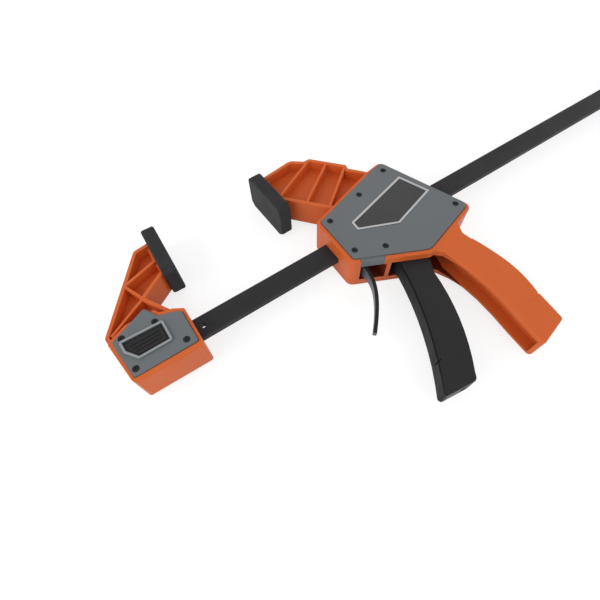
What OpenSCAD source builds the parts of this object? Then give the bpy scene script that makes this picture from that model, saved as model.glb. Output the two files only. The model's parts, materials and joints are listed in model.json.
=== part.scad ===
// Quick release bar clamp, lying on its side.
// Origin: centre of the small hole in the bar beside the fixed jaw. +X runs along the bar to its
// free end, +Y is the throat direction towards the jaw tips, +Z is the thickness.
// Heights over or under the bar are counted from its edges with above() and below().

/* [Bar] */
// Height of the bar's section
bar_w = 19; // [17:0.5:21]
// Thickness of the bar's section
bar_t = 6.5; // [5:0.5:7.5]
// Chamfer along the bar's edges
bar_edge = 0.8; // [0.3:0.1:1.2]
// Bar inside and behind the fixed jaw, past the small hole
bar_tail = 57; // [52:1:58]
// Diameter of the small hole near each end
bar_hole_d = 4.5; // [4:0.5:6]
// Largest opening between the pads
jaw_capacity = 450; // [300:10:600]
// Opening between the pads as drawn
opening = 98.7; // [40:0.1:250]

/* [Pads] */
// Distance from the bar to the pads' tips
throat_depth = 97.3; // [94:0.1:102]
// Length of a pad along the throat
pad_l = 55; // [50:1:58]
// Width of a pad across the clamp
pad_w = 38; // [36:1:42]
// Thickness of a pad
pad_t = 12; // [10:0.5:13]
// Corner cut of a pad
pad_corner = 5; // [3:0.5:7]
// Rounded edge of a pad
pad_edge = 1.2; // [0.5:0.1:2]
// Angle by which each pad leans in at its tip
toe_in = 2; // [0:0.5:3]
// Depth of the arm's tongue in its pad
tongue_l = 5; // [4:0.5:7]
// Width of the arm's tongue
tongue_w = 20; // [16:1:24]
// Height of the arm's tongue
tongue_h = 24; // [18:1:26]

/* [Mouldings] */
// Thickness of the jaw bodies, without their covers
body_t = 34.5; // [33:0.5:38]
// Thickness of the ribbed arms
arm_t = 26.5; // [24:0.5:30]
// Middle web of the ribbed arms
web_t = 4.5; // [3:0.5:8]
// Outer walls of the arms
arm_wall = 3.2; // [2.5:0.1:4]
// Ribs of the arms
rib_t = 2.4; // [1.8:0.2:3.2]
// Low wall of the arms behind the pads
pad_wall = 1.4; // [1:0.2:2.4]
// Rounding along the foot of the fixed jaw
foot_round = 3; // [1:0.5:3.5]
// Thickness of a cover plate
cover_t = 3; // [2.4:0.2:3.6]
// How far a cover plate stands proud of its body
cover_proud = 1.5; // [0.8:0.1:2]
// Border of the body left round a cover plate
cover_margin = 3.6; // [3:0.2:5]
// Border left along the rear edge of the moving jaw
rear_margin = 1.4; // [1.2:0.2:4]
// Thickness of the grip at its end
grip_t = 25; // [24:0.5:30]
// Depth of the channel in the grip
grip_channel = 10; // [7:0.5:14]
// Width of the channel in the grip
grip_channel_w = 18; // [16:0.5:19]
// Width of the slot for the trigger
slot_w = 20.6; // [20:0.2:22]

/* [Trigger] */
// Width of the trigger
trigger_w = 19.6; // [18:0.2:20]
// Turn of the trigger to its stop
trigger_turn = 14; // [8:1:15]
// Diameter of the trigger's pivot pin
pivot_d = 6; // [5:0.5:7]
// Height of the pivot over the bar
pivot_rise = 11.5; // [10:0.5:13]

/* [Release lever] */
// Thickness of the release lever
release_t = 3.2; // [2.8:0.1:4]
// Width of the release lever at the bar
release_w = 18; // [16:0.5:18.5]
// Width of the release lever where it leaves the body
release_neck_w = 11; // [9:0.5:14]
// Width of the release lever at its tip
release_tip_w = 5.5; // [5:0.5:9]
// Lean of the release lever on the bar
release_lean = 5; // [3:0.5:6]

/* [Drive] */
// Number of drive plates
drive_plates = 3; // [3:1:3]
// Thickness of a drive plate
drive_plate_t = 2.6; // [2:0.2:3]
// Height of a drive plate
drive_plate_h = 35; // [32:1:36]
// Width of a drive plate
drive_plate_w = 25; // [20:1:27]
// Wire of the drive spring
drive_wire = 1.5; // [1.2:0.1:1.6]
// Turns of the drive spring
drive_turns = 7; // [5:1:9]
// Wire of the brake spring
brake_wire = 1; // [0.6:0.1:1.2]
// Turns of the brake spring
brake_turns = 4; // [3:1:5]

/* [Quick change button] */
// Travel of the button
button_travel = 5; // [4.6:0.2:5.2]
// Diameter of the lock pin
lock_pin_d = 6; // [4:0.5:7]
// Place of the lock pin behind the small hole
lock_back = 40; // [38:0.5:42]
// Wire of the button's spring
button_wire = 0.8; // [0.6:0.1:1]
// Turns of the button's spring
button_turns = 3; // [2.5:0.5:3.5]

/* [Screws] */
// Head diameter of the cover screws
head_d = 4.8; // [4.4:0.2:5.4]
// Shank diameter of the cover screws
shank_d = 2.8; // [2.4:0.1:3.2]
// Length of a screw under its head
screw_l = 5.5; // [4.5:0.5:5.5]
// Depth of the recess that a screw head sits in
head_sink = 2; // [1.6:0.1:2.2]

/* [Fits] */
// Radial clearance of pins that turn
pin_fit = 0.05; // [0.02:0.01:0.08]
// Clearance of parts that slide on the bar
bar_fit = 0.25; // [0.15:0.05:0.4]
// Gap round parts that lie in a pocket
seat_gap = 0.15; // [0.1:0.05:0.3]
// Gap round moving parts
free_gap = 0.5; // [0.3:0.1:0.8]

/* [Hidden] */

$fn = 48;
orange = "#d9622b";
plate_grey = "#6e7376";
rubber_black = "#3a3a3c";
plastic_black = "#2f3032";
steel_dark = "#45474a";
steel_bright = "#a9adb0";
spring_steel = "#8b8f92";
label_grey = "#3f4143";

// ---- shape functions ----

function above(y) = bar_w / 2 + y;
function below(y) = -bar_w / 2 - y;
function cross_z(a, b) = a[0] * b[1] - a[1] * b[0];
function unit(v) = v / norm(v);
function outward(v) = [v[1], -v[0]];
function wrap(p, i) = p[(i + len(p)) % len(p)];

// Counter-clockwise outline moved outwards by d, or inwards where d is negative. A list gives
// each edge its own distance, counted from the edge that leaves the first point
function grow(p, d) = [for (i = [0:len(p) - 1])
    let (n1 = outward(unit(p[i] - wrap(p, i - 1))), n2 = outward(unit(wrap(p, i + 1) - p[i])),
         d1 = is_list(d) ? wrap(d, i - 1) : d, d2 = is_list(d) ? d[i] : d)
    p[i] + (d1 == d2 ? (n1 + n2) * d1 / (1 + n1 * n2)
                     : (n1 * (d1 - d2 * (n1 * n2)) + n2 * (d2 - d1 * (n1 * n2))) / pow(cross_z(n1, n2), 2))];

// Outline with its corners rounded to radius r, or to the radii of a list, one for each corner
function rounded(p, r, steps = 4) = [for (i = [0:len(p) - 1])
    let (rad = is_list(r) ? r[i] : r)
    each rad == 0 ? [p[i]] : corner_arc(wrap(p, i - 1), p[i], wrap(p, i + 1), rad, steps)];

function corner_arc(a, b, c, r, steps) =
    let (u = unit(a - b), v = unit(c - b), half = acos(u * v) / 2,
         centre = b + unit(u + v) * r / sin(half),
         s = b + u * r / tan(half) - centre,
         sweep = (180 - 2 * half) * sign(u[1] * v[0] - u[0] * v[1]))
    [for (k = [0:steps]) centre + turned(s, sweep * k / steps)];

function turned(v, a) = [v[0] * cos(a) - v[1] * sin(a), v[0] * sin(a) + v[1] * cos(a)];

// Points from a to b on a shallow curve that bulges outwards by sag; the end point is left out
function bow(a, b, sag, steps = 8) = [for (k = [0:steps - 1])
    let (t = k / steps) a + (b - a) * t + outward(unit(b - a)) * 4 * sag * t * (1 - t)];

// Points on a smooth curve from a to c that starts and ends along the lines to b
function curve(a, b, c, steps = 8) = [for (k = [0:steps])
    let (t = k / steps) a * (1 - t) * (1 - t) + b * 2 * t * (1 - t) + c * t * t];

// Outline of a strip of width w along a line of points
function ribbon(line, w) = let (
        n = len(line) - 1,
        side = [for (i = [0:n]) outward(unit(line[min(i + 1, n)] - line[max(i - 1, 0)])) * w / 2])
    concat([for (i = [0:n]) line[i] + side[i]], [for (i = [n:-1:0]) line[i] - side[i]]);

// ---- derived sizes ----

body_z = body_t / 2;
arm_z = arm_t / 2;
cover_out_z = body_z + cover_proud;
cover_in_z = cover_out_z - cover_t;
screw_fit = 0.4;
head_fit = 0.6;
pad_mid_y = above(throat_depth - pad_l / 2);
pad_tip_y = above(throat_depth);
pad_foot_y = pad_tip_y - pad_l;

// Place of the fixed pad's face at mid height; the moving jaw is drawn from its own pad's face
face_x = 6.2;
jaw_x = face_x + opening;

// Place of the back of the fixed pad at height y, counted from the pad's face
function pad_back(y) = pad_t / cos(toe_in) - (y - pad_mid_y) * tan(toe_in);

// Fixed jaw
jaw_end_x = -5.6;
jaw_back_x = -61.5;
jaw_foot_y = below(11.5);
foot_lean = 0.8;
jaw_toe_y = jaw_foot_y - (jaw_end_x - jaw_back_x) * tan(foot_lean);
jaw_elbow = [-67.8, above(17)];
jaw_notch = [-27.8, above(33.3)];
fixed_arm_top = [-18.2, pad_tip_y - 15.7];
// Place on the straight back of the fixed jaw at height y
function jaw_back_at(y) = [jaw_elbow[0] + (jaw_back_x - jaw_elbow[0]) * (y - jaw_elbow[1])
                           / (jaw_foot_y - jaw_elbow[1]), y];
fixed_cover_points = [[-8.4, jaw_foot_y + cover_margin], [-8.4, above(2.4)], [-15.1, above(5.9)],
                      [-25.5, above(9)], [-32.1, above(21)], [-63.4, above(7.2)],
                      [-59.4, jaw_foot_y + cover_margin]];
fixed_block_points = [[jaw_end_x, jaw_toe_y], [jaw_end_x, above(4.6)], [-13.6, above(9.2)],
                      [-23.4, above(12.1)], [-31, above(25)], jaw_back_at(above(9.4)),
                      [jaw_back_x, jaw_foot_y]];
fixed_screw_points = [[-29.3, above(5.6)], [-55.8, above(6.8)], [-15.4, below(2.3)], [-55.8, below(2.4)]];
button_points = [[-25.8, below(-4.6)], [-25.8, above(0.8)], [-56.6, above(2)], [-56.2, below(-13.4)],
                 [-49.6, below(-4.6)]];
button_margin = 2.2;
button_gap = 0.25;
flange_l = 17;
flange_t = 1.8;
rim_rise = 1.7;
leg_l = 12;
leg_t = 2.6;
yoke_t = 2.5;
yoke_spare = 0.4;
lock_fit = 0.6;
lock_rivet_d = lock_pin_d - 1.6;
flange_half = bar_w / 2 + free_gap + leg_t;
well_z = bar_t / 2 + 2;
yoke_z = yoke_t + button_travel + yoke_spare - cover_in_z;

// Moving jaw, counted from its pad's face
front_x = 20.3;
cover_points = [[24.1, below(15.1)], [82.4, below(42.7)], [140.5, below(25.3)], [110.7, above(38.2)],
                [98.4, above(36)], [24.1, above(13)]];
cover_radii = [2.5, 8, 5, 5, 5, 2.5];
body_points = grow(cover_points, [cover_margin, cover_margin, rear_margin, rear_margin + 1,
                                 cover_margin - 0.6, cover_margin]);
body_radii = [3.5, 10, 6, 6, 6, 3.5];
screw_points = [[106.2, above(29.6)], [69.9, above(18.5)], [31.2, above(8.8)], [29.9, below(8.6)],
                [53.5, below(19.6)], [132, below(19)]];
label_points = [[78.4, below(8.2)], [124, below(-5.3)], [112.7, above(15.2)], [44.7, above(-3.2)],
                [44.3, below(-6.4)]];
label_t = 0.8;
label_z = cover_out_z + 0.2 - label_t;
arm_back = [98, above(39.1)];
arm_step = [85, above(54.9)];
arm_knuckle = [86.1, above(59.8)];
arm_ridge = [62, above(87)];
arm_shoulder = [55.9, above(87)];
arm_crown = [45.1, pad_tip_y - 1.7];
arm_root = [44.6, above(22)];
arm_foot_y = pad_foot_y + 16.4;

// Grip and trigger
grip_front_points = [[90.4, below(51)], [94, below(63.5)], [96.6, below(77)], [97.7, below(92)],
                     [97.2, below(110)], [95.6, below(128)]];
grip_toe = [94.2, below(151.8)];
grip_heel = [123.4, below(144.6)];
grip_nape = [134.8, below(83.3)];
grip_notch = [126, below(119.4)];
grip_notch_l = 0.9;
grip_step = [119.4, below(53.4)];
grip_waist = [115.6, below(45)];
slot_z = slot_w / 2;
pivot = [62, above(pivot_rise)];
trigger_z = trigger_w / 2;
cheek_in_z = bar_t / 2 + free_gap;
nose_y = below(4.5);
nose_x = 69.4;
trigger_front_top = [56.6, below(38.5)];
trigger_front_low = [9.6, below(139.6)];
trigger_front_bend = trigger_front_low + [2.8, 4.2];
trigger_back_low = [37.6, below(143.1)];
trigger_back_bend = trigger_back_low + [2.6, 4.6];
trigger_back_top = [74.6, below(58)];
trigger_back = concat(bow(trigger_back_bend, trigger_back_top, 5),
                      [trigger_back_top, [80.4, below(47.5)], [79, below(38)],
                       [nose_x - 0.4, nose_y - 9], [nose_x - 1.8, nose_y - 5.5]]);
// Floor of the fork's slot, clear of the bar when the trigger is squeezed
fork_floor_y = pivot[1] - (pivot[1] + bar_w / 2 + free_gap + (nose_x - pivot[0]) * sin(trigger_turn))
                        / cos(trigger_turn);
function squeezed(p) = pivot + turned(p - pivot, trigger_turn);
drive_x = nose_x + 0.3;
drive_end_x = drive_x + drive_plates * (drive_plate_t + 0.1);
drive_room_l = 24;
spring_end_x = 117.5;
boss_r = 7;

// Release lever: pivot at its upper end, straight to the slot, then curved to the tip
release_pivot = [37.2, above(10.6)];
release_head_r = 3;
release_straight_l = 58;
release_knee_l = 74.4;
release_bend = release_pivot - [tan(release_lean), 1] * release_straight_l;
release_knee = release_pivot - [tan(release_lean), 1] * release_knee_l;
release_tip = [3.2, below(72)];
release_fit = 0.3;
brake_y = below(6.5);
brake_r = 3.6;
partition_x = 48;
partition_t = 3.4;

// Back of the moving jaw at the bar, and the stop pin just behind it at the largest opening
body_rear = body_points[2] + (body_points[3] - body_points[2]) * body_points[2][1]
                             / (body_points[2][1] - body_points[3][1]);
stop_gap = 3.8;
bar_far_hole_x = face_x + jaw_capacity + body_rear[0] + stop_gap + bar_hole_d / 2;
bar_end_x = bar_far_hole_x + bar_tail;
stop_pin_l = bar_t + 10;
stop_pin_wall = 1;

// ---- building blocks ----

module slab(points, half) {
    translate([0, 0, -half]) linear_extrude(2 * half) polygon(points);
}

// Outline extruded between two heights
module layer(points, z0, z1) {
    translate([0, 0, z0]) linear_extrude(z1 - z0) polygon(points);
}

// Block between two corners
module block(low, high) {
    translate(low) cube(high - low);
}

// Straight rib between two points of the outline
module rib(a, b, t) {
    polygon([a + outward(unit(b - a)) * t / 2, b + outward(unit(b - a)) * t / 2,
             b - outward(unit(b - a)) * t / 2, a - outward(unit(b - a)) * t / 2]);
}

// Passage for the bar along X
module bar_passage(x0, x1, gap = bar_fit) {
    block([x0, -bar_w / 2 - gap, -bar_t / 2 - gap], [x1, bar_w / 2 + gap, bar_t / 2 + gap]);
}

// Coil along Z from 0 to height
module coil(r, wire, turns, height) {
    segments = 16;
    sides = 8;
    steps = round(turns * segments);
    rise = (height - wire) / steps;
    rings = [for (k = [0:steps]) for (j = [0:sides - 1])
        let (a = k * 360 / segments, b = j * 360 / sides, rr = r + wire / 2 * cos(b))
        [rr * cos(a), rr * sin(a), wire / 2 + k * rise + wire / 2 * sin(b)]];
    polyhedron(rings, concat(
        [[for (j = [0:sides - 1]) j]],
        [for (k = [0:steps - 1]) for (j = [0:sides - 1])
            [k * sides + j, (k + 1) * sides + j, (k + 1) * sides + (j + 1) % sides,
             k * sides + (j + 1) % sides]],
        [[for (j = [sides - 1:-1:0]) steps * sides + j]]), convexity = 10);
}

// Pad with its face at X = 0 and its body towards +X, leaning in at the tip
module pad() {
    octagon = [[pad_l / 2 - pad_corner, -pad_w / 2], [pad_l / 2, -pad_w / 2 + pad_corner],
               [pad_l / 2, pad_w / 2 - pad_corner], [pad_l / 2 - pad_corner, pad_w / 2],
               [-pad_l / 2 + pad_corner, pad_w / 2], [-pad_l / 2, pad_w / 2 - pad_corner],
               [-pad_l / 2, -pad_w / 2 + pad_corner], [-pad_l / 2 + pad_corner, -pad_w / 2]];
    translate([0, pad_mid_y, 0]) rotate([0, 0, toe_in]) difference() {
        hull() {
            rotate([90, 0, 90]) layer(grow(octagon, -pad_edge), 0, pad_t);
            rotate([90, 0, 90]) layer(octagon, pad_edge, pad_t - pad_edge);
        }
        block([pad_t - tongue_l - seat_gap, -tongue_h / 2 - seat_gap, -tongue_w / 2 - seat_gap],
              [pad_t + 1, tongue_h / 2 + seat_gap, tongue_w / 2 + seat_gap]);
    }
}

// Tongue of an arm, for the pad drawn above
module tongue() {
    translate([0, pad_mid_y, 0]) rotate([0, 0, toe_in])
        block([pad_t - tongue_l, -tongue_h / 2, -tongue_w / 2], [pad_t + 2, tongue_h / 2, tongue_w / 2]);
}

// Pockets on both sides of an arm's web, with the ribs among them as children. The edge behind the
// pad has a thin wall, which stops at the height of the tongue
module arm_pockets(outline, pad_side, radii) {
    for (side = [0, 1], low = [0, 1]) mirror([0, 0, side])
        translate([0, 0, low == 0 ? web_t / 2 : tongue_w / 2 + seat_gap]) linear_extrude(arm_z) difference() {
            polygon(rounded(grow(outline, [for (i = [0:len(outline) - 1])
                i != pad_side ? -arm_wall : low == 0 ? -pad_wall : free_gap]), radii));
            children();
        }
}

// Pilot holes for screws from the front and the back
module screw_pilots(points) {
    for (p = points, side = [0, 1]) mirror([0, 0, side])
        translate([p[0], p[1], cover_out_z - head_sink - screw_l - 0.5])
            cylinder(d = shank_d, h = screw_l + 2);
}

// Screws set into a front cover
module screws(points) {
    head_h = 1.6;
    cross_l = 3;
    cross_w = 0.8;
    cross_d = 0.9;
    for (p = points) translate([p[0], p[1], cover_out_z - head_sink]) difference() {
        union() {
            cylinder(d = head_d, h = head_h);
            translate([0, 0, -screw_l]) cylinder(d = shank_d, h = screw_l + 0.1);
        }
        for (a = [0, 90]) rotate([0, 0, a])
            block([-cross_l / 2, -cross_w / 2, head_h - cross_d], [cross_l / 2, cross_w / 2, head_h + 1]);
    }
}

// Front cover plate with its screw recesses
module cover_plate(points, radii, holes) {
    difference() {
        layer(rounded(points, radii), cover_in_z, cover_out_z);
        for (p = holes) translate([p[0], p[1], 0]) {
            cylinder(d = shank_d + screw_fit, h = cover_out_z + 1);
            translate([0, 0, cover_out_z - head_sink]) cylinder(d = head_d + head_fit, h = head_sink + 1);
        }
    }
}

// Seats of both cover plates in a body
module cover_seats(points, radii) {
    for (side = [0, 1]) mirror([0, 0, side])
        layer(rounded(grow(points, seat_gap), radii), cover_in_z, body_z + 1);
}

// ---- bar ----

module bar() {
    color(steel_dark) difference() {
        rotate([90, 0, 90]) layer([
            [-bar_w / 2 + bar_edge, -bar_t / 2], [bar_w / 2 - bar_edge, -bar_t / 2],
            [bar_w / 2, -bar_t / 2 + bar_edge], [bar_w / 2, bar_t / 2 - bar_edge],
            [bar_w / 2 - bar_edge, bar_t / 2], [-bar_w / 2 + bar_edge, bar_t / 2],
            [-bar_w / 2, bar_t / 2 - bar_edge], [-bar_w / 2, -bar_t / 2 + bar_edge]], -bar_tail, bar_end_x);
        for (x = [0, bar_far_hole_x]) translate([x, 0, -bar_t]) cylinder(d = bar_hole_d, h = 2 * bar_t);
        for (x = [-lock_back, bar_far_hole_x + lock_back]) translate([x, 0, -bar_t])
            cylinder(d = lock_pin_d + lock_fit, h = 2 * bar_t);
    }
}

// Rolled spring pin with its slit, held in the free end's hole
module bar_stop_pin() {
    color(steel_bright) translate([bar_far_hole_x, 0, -stop_pin_l / 2]) difference() {
        cylinder(d = bar_hole_d, h = stop_pin_l);
        translate([0, 0, -1]) cylinder(d = bar_hole_d - 2 * stop_pin_wall, h = stop_pin_l + 2);
        block([0, -stop_pin_wall / 2, -1], [bar_hole_d, stop_pin_wall / 2, stop_pin_l + 1]);
    }
}

// ---- fixed jaw ----

// Side view of the block, drawn along its foot from the corner at its back
module foot_profile() {
    depth = jaw_elbow[1] - jaw_foot_y;
    reach = jaw_end_x - jaw_back_x + depth;
    rotate([90, 0, 90]) layer(rounded([[0, -body_z], [depth, -body_z], [depth, body_z], [0, body_z]],
                                      [foot_round, 0, 0, foot_round], 6), -depth, reach);
}

module fixed_jaw() {
    x0 = face_x - pad_back(pad_foot_y);
    outline = [[jaw_end_x, jaw_toe_y], [jaw_end_x, above(4.6)], [-13.6, above(9.2)], jaw_notch,
               [face_x - pad_back(pad_foot_y + 4.2), pad_foot_y + 4.2],
               [face_x - pad_back(pad_tip_y - 14.4), pad_tip_y - 14.4], fixed_arm_top, jaw_elbow,
               [jaw_back_x, jaw_foot_y]];
    long_rib = [[-9, pad_foot_y + 4], jaw_notch + [-1.6, 0.6], [jaw_elbow[0] + 5, jaw_elbow[1] - 1]];
    cross = [-37.8, above(53)];
    color(orange) difference() {
        union() {
            difference() {
                slab(rounded(outline, [2, 1, 3, 1.5, 0, 0, 4, 4, 4]), arm_z);
                arm_pockets(outline, 4, [1, 1, 1, 0.6, 1, 1, 2, 2, 2]) {
                    rib(long_rib[0], long_rib[1], rib_t);
                    rib(long_rib[1], long_rib[2], rib_t);
                    rib(long_rib[1], cross, rib_t);
                    rib([x0 + 1, pad_tip_y - 34.9], cross, rib_t);
                }
            }
            intersection() {
                slab(rounded(fixed_block_points, [2, 1, 3, 3, 2, 3, 4]), body_z);
                translate([jaw_back_x, jaw_foot_y, 0]) rotate([0, 0, -foot_lean]) foot_profile();
            }
            translate([face_x, 0, 0]) mirror([1, 0, 0]) tongue();
        }
        cover_seats(fixed_cover_points, 1.5);
        screw_pilots(fixed_screw_points);
        bar_passage(-bar_tail - 0.2, 0, 0.05);
        // well of the button, the slots of its legs and the room of the yoke
        layer(grow(button_points, free_gap), well_z, body_z);
        yoke_half = flange_half + free_gap;
        block([-lock_back - flange_l / 2 - free_gap, -yoke_half, well_z],
              [-lock_back + flange_l / 2 + free_gap, yoke_half, body_z]);
        for (s = [-1, 1]) translate([-lock_back, s * (bar_w / 2 + free_gap + leg_t / 2), 0])
            block([-leg_l / 2 - free_gap, -leg_t / 2 - free_gap, -body_z + 1],
                  [leg_l / 2 + free_gap, leg_t / 2 + free_gap, well_z + 1]);
        block([-lock_back - leg_l / 2 - free_gap, -yoke_half, -body_z],
              [-lock_back + leg_l / 2 + free_gap, yoke_half, yoke_z + 0.6]);
        translate([-lock_back, 0, yoke_z]) cylinder(d = lock_pin_d + 2 * free_gap, h = -yoke_z);
    }
}

module fixed_jaw_front_cover() {
    color(plate_grey) difference() {
        union() {
            cover_plate(fixed_cover_points, 1.5, fixed_screw_points);
            layer(rounded(grow(button_points, button_margin), 2), cover_out_z - 1, cover_out_z + rim_rise);
        }
        layer(grow(button_points, button_gap), 0, cover_out_z + rim_rise + 1);
        for (p = fixed_screw_points) translate([p[0], p[1], cover_out_z - head_sink])
            cylinder(d = head_d + head_fit, h = head_sink + rim_rise + 1);
    }
}

module fixed_jaw_back_cover() {
    color(plate_grey) mirror([0, 0, 1]) cover_plate(fixed_cover_points, 1.5, fixed_screw_points);
}

module fixed_jaw_front_screws() {
    color(plastic_black) screws(fixed_screw_points);
}

module fixed_jaw_back_screws() {
    color(plastic_black) mirror([0, 0, 1]) screws(fixed_screw_points);
}

module fixed_jaw_pad() {
    color(rubber_black) translate([face_x, 0, 0]) mirror([1, 0, 0]) pad();
}

// ---- quick change button ----

button_top_z = cover_out_z + rim_rise - 1.1;
button_under_z = cover_in_z - 0.3 - flange_t;

module quick_change_button() {
    grooves = 3;
    pitch = 3;
    ledge_w = 1.4;
    ledge_d = 0.7;
    groove_y = (button_points[0][1] + button_points[1][1]) / 2 - pitch * (grooves - 1) / 2;
    color(plastic_black) {
        difference() {
            union() {
                layer(button_points, button_under_z, button_top_z - ledge_d);
                layer(grow(button_points, -ledge_w), button_under_z, button_top_z);
            }
            for (k = [0:grooves - 1]) translate([0, groove_y + k * pitch, button_top_z - ledge_d])
                block([-50 - k * pitch / 2, -0.5, 0], [-29.5, 0.5, ledge_d + 1]);
        }
        block([-lock_back - flange_l / 2, -flange_half, button_under_z],
              [-lock_back + flange_l / 2, flange_half, button_under_z + flange_t]);
        for (s = [-1, 1]) translate([-lock_back, s * (bar_w / 2 + free_gap + leg_t / 2), 0])
            block([-leg_l / 2, -leg_t / 2, yoke_z], [leg_l / 2, leg_t / 2, button_under_z + 1]);
    }
}

module lock_yoke() {
    color(steel_bright) difference() {
        block([-lock_back - leg_l / 2, -flange_half, yoke_z - yoke_t],
              [-lock_back + leg_l / 2, flange_half, yoke_z]);
        translate([-lock_back, 0, yoke_z - yoke_t - 1]) cylinder(d = lock_rivet_d, h = yoke_t + 2);
    }
}

// Lock pin: riveted foot in the yoke, full diameter above it, chamfered nose in the bar
module lock_pin() {
    nose_z = 0.3;
    nose_l = 0.6;
    color(steel_bright) translate([-lock_back, 0, 0]) {
        translate([0, 0, yoke_z - yoke_t]) cylinder(d = lock_rivet_d, h = yoke_t);
        translate([0, 0, yoke_z]) cylinder(d = lock_pin_d, h = nose_z - yoke_z);
        translate([0, 0, nose_z]) cylinder(d1 = lock_pin_d, d2 = lock_pin_d - 2 * nose_l, h = nose_l);
    }
}

module button_spring() {
    color(spring_steel) translate([-lock_back, 0, well_z])
        coil(4, button_wire, button_turns, button_under_z - well_z);
}

// ---- moving jaw ----

module at_jaw() {
    translate([jaw_x, 0, 0]) children();
}

grip_front_end = grip_front_points[len(grip_front_points) - 1];
grip_outline = concat(
    [[70, below(30)], [85, below(46)]], grip_front_points,
    rounded([grip_front_end, grip_toe, grip_heel, grip_notch - [0, grip_notch_l]], [0, 3.5, 3, 0]),
    [grip_notch - [grip_notch_l, 0]], curve(grip_notch + [0, grip_notch_l], grip_nape, grip_step, 12),
    rounded([grip_step - [1, -0.6], grip_waist, [123, below(28)]], [0, 5, 0]), [[100, above(0)]]);

// Side view profile that thins the grip from the body to its end
grip_side = concat(
    [[above(1), -body_z]], [for (k = [0:8]) [below(38 + 5 * k), -grip_side_z(k / 8)]],
    [[grip_toe[1] - 5, -grip_t / 2], [grip_toe[1] - 5, grip_t / 2]],
    [for (k = [8:-1:0]) [below(38 + 5 * k), grip_side_z(k / 8)]], [[above(1), body_z]]);
function grip_side_z(t) = grip_t / 2 + (body_t - grip_t) / 2 * (1 + cos(180 * t)) / 2;

module moving_arm() {
    tip_y = pad_tip_y - 6.1;
    outline = [[pad_back(arm_foot_y), arm_foot_y], arm_root, [60, above(10)], [98, above(20)], arm_back,
               arm_step, arm_knuckle, arm_ridge, arm_shoulder, arm_crown, [pad_back(tip_y), tip_y]];
    difference() {
        slab(rounded(outline, [0, 0, 0, 0, 0, 1, 2, 2, 3, 8, 0]), arm_z);
        arm_pockets(outline, len(outline) - 1, [1, 0, 0, 0, 0, 0.5, 1, 1, 1, 5, 1]) {
            rib([62, above(86.4)], [11, above(61.2)], rib_t);
            rib([74, above(74)], [28, above(41.3)], rib_t);
            rib([86, above(60.4)], [40, above(23.6)], rib_t);
        }
    }
    tongue();
}

module moving_jaw_housing() {
    color(orange) at_jaw() difference() {
        union() {
            moving_arm();
            slab(rounded(body_points, body_radii), body_z);
            intersection() {
                slab(grip_outline, body_z);
                rotate([90, 0, 90]) layer(grip_side, 60, 140);
            }
        }
        cover_seats(cover_points, cover_radii);
        screw_pilots(screw_points);
        bar_passage(0, body_points[2][0]);
        housing_rooms();
        trigger_way();
        layer(grow(tab_points(), seat_gap), slot_z - 1, body_z + 1);
        translate([pivot[0], pivot[1], -body_z]) cylinder(r = pivot_d / 2, h = body_t);
    }
}

// Rooms for the release lever, the trigger's fork, the drive plates and the spring
module housing_rooms() {
    lever_z = release_w / 2 + 0.4;
    front_wall = 6.2;
    low_front_wall = 7.6;
    room_low_y = grip_front_points[0][1];
    spring_x = drive_x + 10;
    difference() {
        block([front_x + front_wall, room_low_y, -lever_z], [partition_x, above(11), lever_z]);
        block([front_x, room_low_y, -lever_z - 1], [front_x + low_front_wall, below(17), lever_z + 1]);
    }
    translate([release_pivot[0], release_pivot[1], -lever_z])
        cylinder(r = release_head_r + 0.1, h = 2 * lever_z);
    fork_x = partition_x + partition_t;
    block([fork_x, room_low_y, -slot_z], [drive_x - 0.3, above(pivot_rise), slot_z]);
    translate([pivot[0], pivot[1], -slot_z]) cylinder(r = boss_r + 1.6, h = slot_w);
    block([drive_x - 1.2, -drive_plate_h / 2 - 1, -cover_in_z],
          [drive_x + drive_room_l, drive_plate_h / 2 + 1, cover_in_z]);
    translate([spring_x, 0, 0]) rotate([0, 90, 0])
        cylinder(r = spring_r + drive_wire / 2 + 0.8, h = spring_end_x - spring_x);
}

// Sweep of the trigger through the body, and the channel of the grip
module trigger_way() {
    front = grip_front_points;
    deep = [grip_channel, 0];
    root = [[106, below(48)], [103, below(38)], [92, below(20)], [82, below(6)]];
    slab(concat([[partition_x + partition_t, below(3)], [partition_x + partition_t, below(70)],
                 [front[0][0] - 6, below(110)]], [for (p = trigger_back) squeezed(p) + [free_gap, 0]]),
         slot_z);
    slab(concat([front[0] - deep, [front[0][0], grip_toe[1]] - deep, grip_toe + [0, 4.6],
                 grip_toe + deep + [0.6, 3.4]],
                [for (k = [5:-1:1]) front[k] + deep], root), grip_channel_w / 2);
}

// Tab of the front cover that closes the body's border over the release lever
function tab_points() = let (
        a = cover_points[0], b = cover_points[1], along = unit(b - a), out = outward(along) * cover_margin,
        s = a + along * 5.6, e = a + along * 25.6, lap = -outward(along) * 0.4)
    [s + lap, s + out, e + out, e + lap];

module moving_jaw_front_cover() {
    color(plate_grey) at_jaw() difference() {
        union() {
            cover_plate(cover_points, cover_radii, screw_points);
            layer(tab_points(), slot_z - 0.2, body_z);
        }
        layer(grow(label_points, 0.1), label_z, cover_out_z + 1);
    }
}

module moving_jaw_back_cover() {
    color(plate_grey) mirror([0, 0, 1]) at_jaw() cover_plate(cover_points, cover_radii, screw_points);
}

module moving_jaw_front_screws() {
    color(plastic_black) at_jaw() screws(screw_points);
}

module moving_jaw_back_screws() {
    color(plastic_black) mirror([0, 0, 1]) at_jaw() screws(screw_points);
}

module label_panel() {
    color(label_grey) at_jaw() layer(rounded(label_points, 1), label_z, label_z + label_t);
}

module moving_jaw_pad() {
    color(rubber_black) at_jaw() pad();
}

// ---- trigger and its drive ----

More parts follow.
